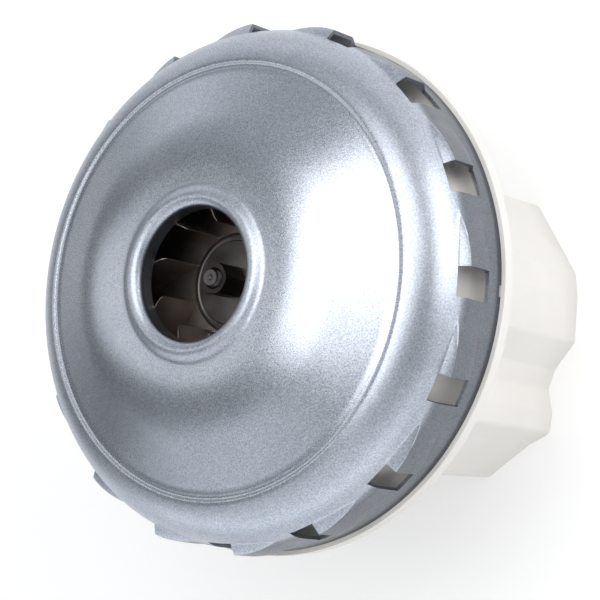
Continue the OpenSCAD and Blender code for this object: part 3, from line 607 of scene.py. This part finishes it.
add(ring_tree, "NodeGroupOutput", {0: coated})
print("tree", ring_tree.name, len(ring_tree.nodes), "nodes")

# %% [markdown]
# A tree is used as a modifier, whose inputs are set by their identifiers. The
# result is taken out as a plain mesh, and the modifier removed. Faces that meet
# at less than a given angle are shaded as one smooth surface.


# %% Use a tree, and turn the result into a plain mesh
def plain_mesh(piece):
    seen_by = bpy.context.evaluated_depsgraph_get()
    mesh = bpy.data.meshes.new_from_object(piece.evaluated_get(seen_by))
    piece.modifiers.clear()
    old = piece.data
    piece.data = mesh
    bpy.data.meshes.remove(old)
    mesh.name = piece.name


def grow(piece, tree, **values):
    modifier = piece.modifiers.new(tree.name, "NODES")
    modifier.node_group = tree
    for item in tree.interface.items_tree:
        key = item.name.replace(" ", "_").lower()
        if item.in_out == "INPUT" and key in values:
            modifier[item.identifier] = values[key]
    plain_mesh(piece)


def smooth(piece, angle_deg):
    piece.data.shade_smooth()
    piece.data.set_sharp_from_angle(angle=math.radians(angle_deg))


print("mesh from a tree: ready")

# %% [markdown]
# ## The pressed steel cover
# The real cover is one disc of steel sheet, drawn in a press, and its sixteen
# louvres are cut along one end and pushed out. Its shape follows a rule: one
# sixteenth of the turn holds one outlet, one louvre and a plain strip. So one
# sector is written as columns that climb from the rim, over the shoulder, the
# groove and the dome, to the rolled bead and down into the bore. A column inside
# the outlet leaves its faces out, and a column on the louvre is pushed out.
# The tree above repeats the sector, and Solidify gives the sheet its thickness.
# Radii are from the shaft and heights from the rim.

# %% Sizes of the cover's outline, in mm
rim_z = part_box("fan_cover")[0].z / MM
sheet_thick = 1.0
skirt_r, shoulder_r = 70.2, 16.0
shoulder_mid = (skirt_r - shoulder_r, 13.05)
groove_out, groove_in, groove_deep = (59.0, 28.3), (56.4, 28.5), 0.30
cone_start, cone_end, cone_slope = 55.4, 43.0, math.radians(25.5)
ring_end, ring_slope = 28.0, math.radians(3.0)
bead_mid, bead_r, bead_from, bead_fillet = (20.4, 37.7), 2.7, math.radians(55), 0.8
bore_r, bore_heights = 17.8, (37.0, 35.6, 34.4)
print("rim at", round(rim_z, 2), "mm, top of the bead", round(rim_z + bead_mid[1] + bead_r, 2))

# %% Sizes of the outlets, louvres and notches, in mm and degrees
outlets, notches = 16, 4
outlet_low, outlet_high, outlet_wide = 6.0, 18.9, 7.7
louvre_long, louvre_push, swell_high, crest_z = 11.4, 1.8, 3.0, 17.2
strip_top = 17.4
notch_wide, notch_high = 3.0, 0.9
hair, tiny = 0.06, 1e-6
sector = 360 / outlets
outlet_half = math.degrees(math.asin(outlet_wide / 2 / skirt_r))
notch_half = math.degrees(math.asin(notch_wide / 2 / skirt_r))
louvre_end = outlet_half + louvre_long
strip_long = sector - outlet_half - louvre_end
outlet_columns = [-outlet_half, -notch_half - hair, -notch_half, notch_half, notch_half + hair]
louvre_columns = [outlet_half + louvre_long * i / 10 for i in range(11)]
strip_columns = [louvre_end + strip_long * i / 4 for i in range(1, 5)]
column_angles = outlet_columns + louvre_columns + strip_columns
print(len(column_angles), "columns in a sector of", sector, "degrees")

# %% [markdown]
# The top of a column is the same all round: the shallow groove, the straight
# flank of the dome, a round part that runs out into the flat ring, and the bead
# with a small fillet at its foot.


# %% Groove, dome and flat ring
def dome_line():
    start, end = Vector(groove_out), Vector(groove_in)
    line = []
    for t in np.linspace(0, 1, 12)[1:]:
        dip = groove_deep * math.sin(math.pi * t) ** 2
        line.append(tuple(start + (end - start) * t - Vector((0, dip))))
    for r in np.linspace(cone_start, cone_end, 7):
        line.append((r, groove_in[1] + (groove_in[0] - r) * math.tan(cone_slope)))
    ball = (cone_end - ring_end) / (math.sin(cone_slope) - math.sin(ring_slope))
    mid_r = cone_end - ball * math.sin(cone_slope)
    mid_z = line[-1][1] - ball * math.cos(cone_slope)
    for s in np.linspace(cone_slope, ring_slope, 10)[1:]:
        line.append((mid_r + ball * math.sin(s), mid_z + ball * math.cos(s)))
    return line


print(len(dome_line()), "points on the dome")


# %% Bead with its fillet, and the bore
def bend(a, b, c, cut, steps):
    a, b, c = Vector(a), Vector(b), Vector(c)
    p, q = b + (a - b).normalized() * cut, b + (c - b).normalized() * cut
    line = [p * (1 - t) ** 2 + b * 2 * t * (1 - t) + q * t * t for t in np.linspace(0, 1, steps)]
    return [tuple(point) for point in line]


def top_line():
    line = dome_line()
    ring = Vector(line[-1])
    bead = []
    for a in np.linspace(bead_from, math.pi, 16):
        bead.append((bead_mid[0] + bead_r * math.cos(a), bead_mid[1] + bead_r * math.sin(a)))
    flank = Vector((math.sin(bead_from), -math.cos(bead_from)))
    gap = Vector(bead[0]) - ring
    fall = (gap.y + gap.x * math.tan(ring_slope)) / (-flank.y - flank.x * math.tan(ring_slope))
    foot = Vector(bead[0]) + flank * fall
    line += [tuple(ring.lerp(foot, 0.4)), tuple(ring.lerp(foot, 0.8))]
    line += bend(ring, foot, bead[0], bead_fillet, 6) + bead
    return line + [(bore_r, z) for z in bore_heights]


print(len(top_line()), "points from the groove to the bore")

# %% [markdown]
# The lower part of a column depends on where it stands. On the louvre the
# skirt swells outward over its first millimetres, stays out as a flat panel up
# to the crest, and bends back to the shoulder. The push is greatest at the
# outlet and fades along a quarter of a sine to the louvre's other end.

# %% One column of the cover, from the rim up to the bore
rim_heights = (0.0, notch_high, 2.4, 4.2)
swell_rows, panel_rows, crest_rows, shoulder_rows = 7, 4, 8, 15
panel_from, panel_to, crest_power = 0.25, 0.96, 1.2


def skirt_at(z):
    lift = max(0.0, z - shoulder_mid[1])
    return shoulder_mid[0] + math.sqrt(shoulder_r**2 - lift**2)


def eased(t):
    return t * t * (3 - 2 * t)


def column(angle):
    push, meet = 0.0, outlet_high
    if outlet_half - tiny <= angle <= louvre_end:
        push = louvre_push * math.sin(math.pi / 2 * (louvre_end - angle) / louvre_long)
        meet = strip_top + (outlet_high - strip_top) * push / louvre_push
    elif angle > louvre_end:
        meet = strip_top + (outlet_high - strip_top) * (angle - louvre_end) / strip_long
    share = push / louvre_push
    panel_low = outlet_low + swell_high
    rows = [(skirt_r, z) for z in rim_heights]
    for t in np.linspace(0, 1, swell_rows):
        rows.append((skirt_r + push * eased(t), outlet_low + swell_high * t))
    for t in np.linspace(panel_from, panel_to, panel_rows):
        z = panel_low + (crest_z - panel_low) * t
        rows.append((skirt_at(z) + (skirt_r - skirt_at(z)) * share + push, z))
    crest_out = (skirt_r - skirt_at(crest_z)) * share + push
    for t in np.linspace(0, 1, crest_rows):
        z = crest_z + (meet - crest_z) * t
        rows.append((skirt_at(z) + crest_out * (1 - t**crest_power), z))
    start = math.asin(max(0.0, meet - shoulder_mid[1]) / shoulder_r)
    stop = math.acos((groove_out[0] - shoulder_mid[0]) / shoulder_r)
    for a in np.linspace(start, stop, shoulder_rows)[1:]:
        r, z = shoulder_r * math.cos(a), shoulder_r * math.sin(a)
        rows.append((shoulder_mid[0] + r, shoulder_mid[1] + z))
    return rows + top_line()


first_open = len(rim_heights)
open_rows = range(first_open, first_open + swell_rows + panel_rows + crest_rows - 1)
print(len(column(0.0)), "points in a column")


# %% Join the columns into one sector
def cover_sector():
    points, faces = [], []
    for angle in column_angles:
        a = math.radians(angle)
        points += [(r * math.cos(a), r * math.sin(a), rim_z + z) for r, z in column(angle)]
    tall = len(points) // len(column_angles)
    for i in range(len(column_angles) - 1):
        for j in range(tall - 1):
            if i < len(outlet_columns) and j in open_rows:
                continue
            a = i * tall + j
            faces.append((a, a + tall, a + tall + 1, a + 1))
    mesh = mesh_of("cover_sector", points, faces)
    shape = bmesh.new()
    shape.from_mesh(mesh)
    loose = [v for v in shape.verts if not v.link_faces]
    bmesh.ops.delete(shape, geom=loose, context="VERTS")
    shape.to_mesh(mesh)
    shape.free()
    return mesh


cover = new_object("fan_cover_shell", cover_sector())
print("sector:", len(cover.data.vertices), "points,", len(cover.data.polygons), "faces")

# %% [markdown]
# Four small notches are filed into the rim, each below an outlet. A point on
# the rim by a notch is raised to just under the next row, so that no face
# closes up. Then the sheet gets its thickness, inward from this outer side.

# %% Repeat it, file the notches and give the sheet its thickness
grow(cover, ring_tree, copies=outlets, weld_distance=0.004 * MM, finish=zinc)
notch_step = 360 / notches
on_rim = (rim_z + 0.1) * MM
notch_top = (rim_z + notch_high - 0.01) * MM
for point in cover.data.vertices:
    angle = math.degrees(math.atan2(point.co.y, point.co.x)) % notch_step
    if point.co.z < on_rim and min(angle, notch_step - angle) < notch_half + hair / 3:
        point.co.z = notch_top
thick = cover.modifiers.new("sheet", "SOLIDIFY")
thick.thickness = sheet_thick * MM
thick.offset = -1.0
thick.use_even_offset = False
plain_mesh(cover)
smooth(cover, 42)
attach(cover, "frame")
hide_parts("fan_cover")
print("cover:", len(cover.data.polygons), "faces")

# %% [markdown]
# ## Fan blades
# Nine curved aluminium blades stand between two discs. Each is a strip bent to
# an arc. Its leading edge stands upright by the eye, with a rounded top corner,
# both ends are thinned, and its top follows the underside of the front disc.
# One blade is lofted as stacked outlines, and the tree repeats it.

# %% Centre line of a blade, in mm
blade_count, blade_thick = 9, 0.9
blade_start, blade_stop, blade_bend, blade_sweep = 14.7, 55.9, 50.0, math.radians(50)
blade_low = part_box("impeller_back_disc")[1].z / MM + 0.05
front = Vector((blade_start, 0))
back = Vector((math.cos(blade_sweep), math.sin(blade_sweep))) * blade_stop
chord = back - front
side = Vector((-chord.y, chord.x)).normalized()
middle = front + chord / 2 + side * math.sqrt(blade_bend**2 - (chord.length / 2) ** 2)
from_angle = math.atan2(-middle.y, blade_start - middle.x)
to_angle = math.atan2(back.y - middle.y, back.x - middle.x)
to_angle += 2 * math.pi * round((from_angle - to_angle) / (2 * math.pi))
arc = np.linspace(from_angle, to_angle, 200)
arc_r = np.hypot(middle.x + blade_bend * np.cos(arc), middle.y + blade_bend * np.sin(arc))
print("blade runs from radius", round(arc_r.min(), 1), "to", round(arc_r.max(), 1), "mm")

# %% Underside of the front disc, as radii and heights in mm
roof_rim, roof_neck, roof_eye = Vector((56.5, 101.6)), Vector((32.2, 110.2)), Vector((21.5, 111.48))
roof_bulge, roof_gap = 0.9, 0.08
slope = roof_neck - roof_rim
swell = Vector((slope.y, -slope.x)).normalized() * roof_bulge * 4
roof = [roof_rim + slope * t + swell * t * (1 - t) for t in np.linspace(0, 1, 40)] + [roof_eye]
roof_r = [p.x for p in reversed(roof)]
roof_z = [p.y for p in reversed(roof)]


def roof_at(r):
    return float(np.interp(r, roof_r, roof_z)) - roof_gap


print("underside at the rim", round(roof_at(56.5), 2), "mm, by the eye", round(roof_at(21.5), 2))

# %% One blade, as outlines stacked from the back disc to the front one
levels = (0.0, 0.3, 0.6, 0.8, 0.9, 0.93, 0.96, 0.985, 1.0)
corner_high, corner_long = 0.10, 1.6
side_points, thinned_long, thinnest = 13, 0.9, 0.02


def half_thickness(to_end):
    share = min(1.0, (to_end + thinnest) / thinned_long)
    return blade_thick / 2 * math.sqrt(max(thinnest, share))


def one_blade():
    points, faces = [], []
    around = 2 * side_points
    for s in levels:
        cut = corner_long * (1 - math.sqrt(1 - (max(0.0, s - 1 + corner_high) / corner_high) ** 2))
        start = float(np.interp(blade_start + cut, arc_r, arc))
        there = [start + (to_angle - start) * t for t in np.linspace(0, 1, side_points)]
        outline = [(a, 1.0) for a in there] + [(a, -1.0) for a in reversed(there)]
        for a, face in outline:
            to_end = min(abs(a - start), abs(to_angle - a)) * blade_bend
            r = blade_bend + face * half_thickness(to_end)
            x, y = middle.x + r * math.cos(a), middle.y + r * math.sin(a)
            points.append((x, y, blade_low + s * (roof_at(math.hypot(x, y)) - blade_low)))
    for j in range(len(levels) - 1):
        for i in range(around):
            a, b = j * around + i, j * around + (i + 1) % around
            faces.append((a, b, b + around, a + around))
    faces.append(tuple(reversed(range(around))))
    faces.append(tuple((len(levels) - 1) * around + i for i in range(around)))
    return sealed(mesh_of("blade", points, faces))


blades = new_object("impeller_blade_ring", one_blade())
grow(blades, ring_tree, copies=blade_count, weld_distance=0.0, finish=aluminium)
smooth(blades, 35)
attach(blades, "rotor")
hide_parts("impeller_blades")
print("blades:", len(blades.data.polygons), "faces")

# %% [markdown]
# ## Shaft, nut and washer
# These three are what the eye finds in the middle of the inlet. They are
# turned parts, so each is an outline of radii and heights, spun round the
# shaft. Where a tool cuts something that isn't round, a function changes the
# radius on the way.


# %% Spin an outline round the shaft
def turned(name, outline, sides, closed=False, cut=None):
    points, faces = [], []
    for k in range(sides):
        a = 2 * math.pi * k / sides
        for r, z in outline:
            r = cut(r, z, k / sides) if cut else r
            points.append((r * math.cos(a), r * math.sin(a), z))
    n = len(outline)
    for k in range(sides):
        for i in range(n if closed else n - 1):
            j = (i + 1) % n
            a, b = k * n, (k + 1) % sides * n
            faces.append((a + i, b + i, b + j, a + j))
    return sealed(mesh_of(name, points, faces))


washer_low, washer_top = (c.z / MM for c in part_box("hub_washer"))
print("washer from", round(washer_low, 2), "to", round(washer_top, 2))

# %% [markdown]
# The clamping washer is a disc with a rounded rim, a shallow groove inside it,
# and a face that rises a little towards the nut.

# %% Clamping washer
washer_hole, washer_r = 3.05, 13.6
washer_line = [(washer_hole, washer_low), (washer_r - 0.3, washer_low)]
washer_line.append((washer_r, washer_low + 0.3))
for r, down in (
    (washer_r, 0.75), (13.45, 0.45), (13.1, 0.3), (12.4, 0.3), (12.1, 0.5), (11.6, 0.5),
    (11.3, 0.25), (6.2, 0.05), (5.9, 0.0), (washer_hole, 0.0),
):
    washer_line.append((r, washer_top - down))
washer = new_object("clamping_washer", turned("clamping_washer", washer_line, 96, closed=True))
washer.data.materials.append(blacks["blackened_steel"])
smooth(washer, 30)
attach(washer, "rotor")
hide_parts("hub_washer")
print("washer:", len(washer.data.polygons), "faces")

# %% [markdown]
# The tall nut is a hexagon whose corners are turned off at both ends. Each row
# gives a height and the largest radius there, up the outside and down the hole,
# and a point lies on the flat of the hexagon or on that radius, whichever is
# nearer to the shaft.

# %% Tall hexagon nut
nut_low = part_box("shaft_nut")[0].z / MM
nut_half, nut_sides = 8.0 / 2, 72
corner_r = nut_half / math.cos(math.pi / 6)
nut_rows = [(0.0, corner_r - 0.45), (0.35, corner_r - 0.05), (8.0, corner_r - 0.05),
            (8.5, corner_r - 0.45), (8.5, 2.9), (8.2, 2.55), (0.3, 2.55), (0.0, 2.9)]


def nut_mesh():
    points, faces = [], []
    for up, limit in nut_rows:
        for k in range(nut_sides):
            a = 2 * math.pi * (k + 0.5) / nut_sides
            r = min(limit, nut_half / math.cos((a % (math.pi / 3)) - math.pi / 6))
            points.append((r * math.cos(a), r * math.sin(a), nut_low + up))
    for j in range(len(nut_rows)):
        this, other = j * nut_sides, (j + 1) % len(nut_rows) * nut_sides
        for k in range(nut_sides):
            after = (k + 1) % nut_sides
            faces.append((this + k, this + after, other + after, other + k))
    return sealed(mesh_of("nut", points, faces))


nut = new_object("impeller_nut", nut_mesh())
nut.data.materials.append(blacks["oiled_black_steel"])
smooth(nut, 25)
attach(nut, "rotor")
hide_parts("shaft_nut")
print("nut:", len(nut.data.polygons), "faces")

# %% [markdown]
# The shaft is stepped for its bearings and the armature, with a small slope at
# each step. From the washer up it has a real thread of 5 mm with a pitch of
# 0.8 mm, and its end has the small cone of the lathe's centre.

# %% Outline of the shaft, in mm
shaft_low, shaft_top = (c.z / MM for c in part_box("shaft"))
shaft_steps = [(3.0, shaft_low), (4.0, 11.7), (5.0, 19.1), (4.0, 85.5), (3.0, 95.3)]
step_edge = 0.15
thread_low = washer_top - 0.4
thread_r, thread_deep, thread_pitch, thread_row = 2.5, 0.42, 0.8, 0.1
shaft_line = [(0.0, shaft_low + 0.6), (0.7, shaft_low), (2.6, shaft_low), (3.0, shaft_low + 0.4)]
for (below, _), (above, z) in zip(shaft_steps, shaft_steps[1:]):
    edge_r = max(below, above) - step_edge
    shaft_line += [(below, z - step_edge), (edge_r, z), (above, z + step_edge)]
shaft_line += [(3.0, thread_low - 0.2), (2.8, thread_low)]
for z in np.arange(thread_low + thread_row, shaft_top - 0.45, thread_row):
    shaft_line.append((thread_r, z))
for r, down in ((2.25, 0.15), (2.1, 0.0), (0.9, 0.0), (0.1, 0.8), (0.0, 0.85)):
    shaft_line.append((r, shaft_top - down))
print(len(shaft_line), "points in the shaft's outline")


# %% Shaft with its thread
def threaded(r, z, turn_share):
    along = (z / thread_pitch - turn_share) % 1
    return thread_r - thread_deep * (1 - abs(2 * along - 1)) if r == thread_r else r


spindle = new_object("threaded_shaft", turned("shaft", shaft_line, 48, cut=threaded))
spindle.data.materials.append(steels["turned_steel"])
smooth(spindle, 30)
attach(spindle, "rotor")
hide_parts("shaft")
print("shaft:", len(spindle.data.polygons), "faces")

# %% [markdown]
# ## Moulded pieces
# A moulding has no sharp edge: the mould's own corners are rounded, and light
# catches on them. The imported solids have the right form, so each moulded
# piece is a merged copy of its solid with its sharp edges given a small radius
# by a bevel. The housing has three kinds of edge. Its long upright corners and
# the foot of its drum get a large radius, and its other edges a small one.

# %% Which edge gets which radius
long_corner, upright = 12.0, 0.98
flat_angle, sharp_angle = math.radians(12), math.radians(40)
foot_near = 0.3


def on_ring(edge, radius_mm, z_mm):
    for v in edge.verts:
        if abs(v.co.xy.length / MM - radius_mm) + abs(v.co.z / MM - z_mm) >= foot_near:
            return False
    return True


def edge_share(edge, small, corners):
    if len(edge.link_faces) != 2 or edge.calc_face_angle(0.0) < flat_angle:
        return 0.0
    run = edge.verts[1].co - edge.verts[0].co
    if corners and run.length > long_corner * MM and abs(run.z) > upright * run.length:
        return 1.0
    return small if edge.calc_face_angle(0.0) > sharp_angle else 0.0


drum_foot = (64.4, rim_z + 4.4)
print("foot of the drum at radius and height", [round(v, 1) for v in drum_foot])

# %% [markdown]
# The foot of the drum is rounded first and on its own, because a bevel of the
# whole piece would be held back there by its short neighbours.

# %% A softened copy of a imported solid
merge_distance = 2e-6
same_plane = math.radians(0.6)
foot_segments, shade_deg = 5, 38


def softened(node, name, edge_mm, finish, body, corner_mm=0.0, segments=2, foot=None):
    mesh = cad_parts[node].data.copy()
    mesh.materials.clear()
    widest = max(edge_mm, corner_mm)
    shape = bmesh.new()
    shape.from_mesh(mesh)
    bmesh.ops.remove_doubles(shape, verts=shape.verts, dist=merge_distance)
    bmesh.ops.dissolve_limit(shape, angle_limit=same_plane, verts=shape.verts, edges=shape.edges)
    if foot:
        ring = [edge for edge in shape.edges if on_ring(edge, *foot)]
        bmesh.ops.bevel(shape, geom=ring, offset=corner_mm * MM, segments=foot_segments,
                        profile=0.5, affect="EDGES")
        print(name, len(ring), "edges of the foot rounded")
    weight = shape.edges.layers.float.new("bevel_weight_edge")
    for edge in shape.edges:
        edge[weight] = edge_share(edge, edge_mm / widest, corner_mm > 0)
    shape.to_mesh(mesh)
    shape.free()
    if "custom_normal" in mesh.attributes:
        mesh.attributes.remove(mesh.attributes["custom_normal"])
    piece = new_object(name, mesh)
    mesh.materials.append(finish)
    bevel = piece.modifiers.new("mould_radius", "BEVEL")
    bevel.width = widest * MM
    bevel.segments = segments
    bevel.limit_method = "WEIGHT"
    bevel.use_clamp_overlap = True
    plain_mesh(piece)
    smooth(piece, shade_deg)
    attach(piece, body)
    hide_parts(node)
    print(name, "from", node, len(piece.data.polygons), "faces")


softened("motor_housing", "moulded_housing", 0.5, cream, "frame",
         corner_mm=2.4, segments=4, foot=drum_foot)
softened("bearing_bridge", "moulded_bridge", 0.4, cream, "frame")
softened("rear_cover", "moulded_rear_cover", 0.3, cream, "frame")
softened("terminal_block", "moulded_terminal_block", 0.4, dull["black_nylon"],
         "frame")
softened("cooling_fan", "moulded_cooling_fan", 0.25, dull["slate_nylon"], "rotor")

# %% [markdown]
# ## Finishes on the solids that stay
# The other solids already have their true shape. Each gets the finish of the
# real piece in its own material slots, and its mesh isn't touched.

# %% Finish for each solid that stays
finish_of = {
    "impeller_back_disc": aluminium,
    "impeller_front_disc": aluminium,
    "shaft_spacer": steels["turned_steel"],
    "front_bearing_inner_ring": steels["ground_bearing_steel"],
    "front_bearing_outer_ring": steels["ground_bearing_steel"],
    "front_bearing_balls": steels["ground_bearing_steel"],
    "rear_bearing_inner_ring": steels["ground_bearing_steel"],
    "rear_bearing_outer_ring": steels["ground_bearing_steel"],
    "rear_bearing_balls": steels["ground_bearing_steel"],
    "bearing_retainer": steels["passivated_screw_steel"],
    "retainer_screws": steels["passivated_screw_steel"],
    "stator_screws": steels["passivated_screw_steel"],
    "bridge_screws": steels["passivated_screw_steel"],
    "bearing_sleeve": dull["moulded_rubber"],
    "armature_core": laminations,
    "stator_core": laminations,
    "armature_winding": coppers["enamelled_copper"],
    "stator_coil_a": coppers["enamelled_copper"],
    "stator_coil_b": coppers["enamelled_copper"],
    "commutator_bars": coppers["hard_drawn_copper"],
    "commutator_core": dull["baked_phenolic"],
    "brush_tube_a": coppers["rolled_brass"],
    "brush_tube_b": coppers["rolled_brass"],
    "brush_clip_a": coppers["rolled_brass"],
    "brush_clip_b": coppers["rolled_brass"],
    "brush_spring_a": steels["drawn_spring_steel"],
    "brush_spring_b": steels["drawn_spring_steel"],
    "brush_a": dull["pressed_carbon"],
    "brush_b": dull["pressed_carbon"],
    "supply_terminals": coppers["tinned_brass"],
}
for name, finish in finish_of.items():
    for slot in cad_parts[name].material_slots:
        slot.material = finish
left = [n for n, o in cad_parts.items() if n not in finish_of and not o.hide_render]
print(len(finish_of), "solids finished, left without one:", left)
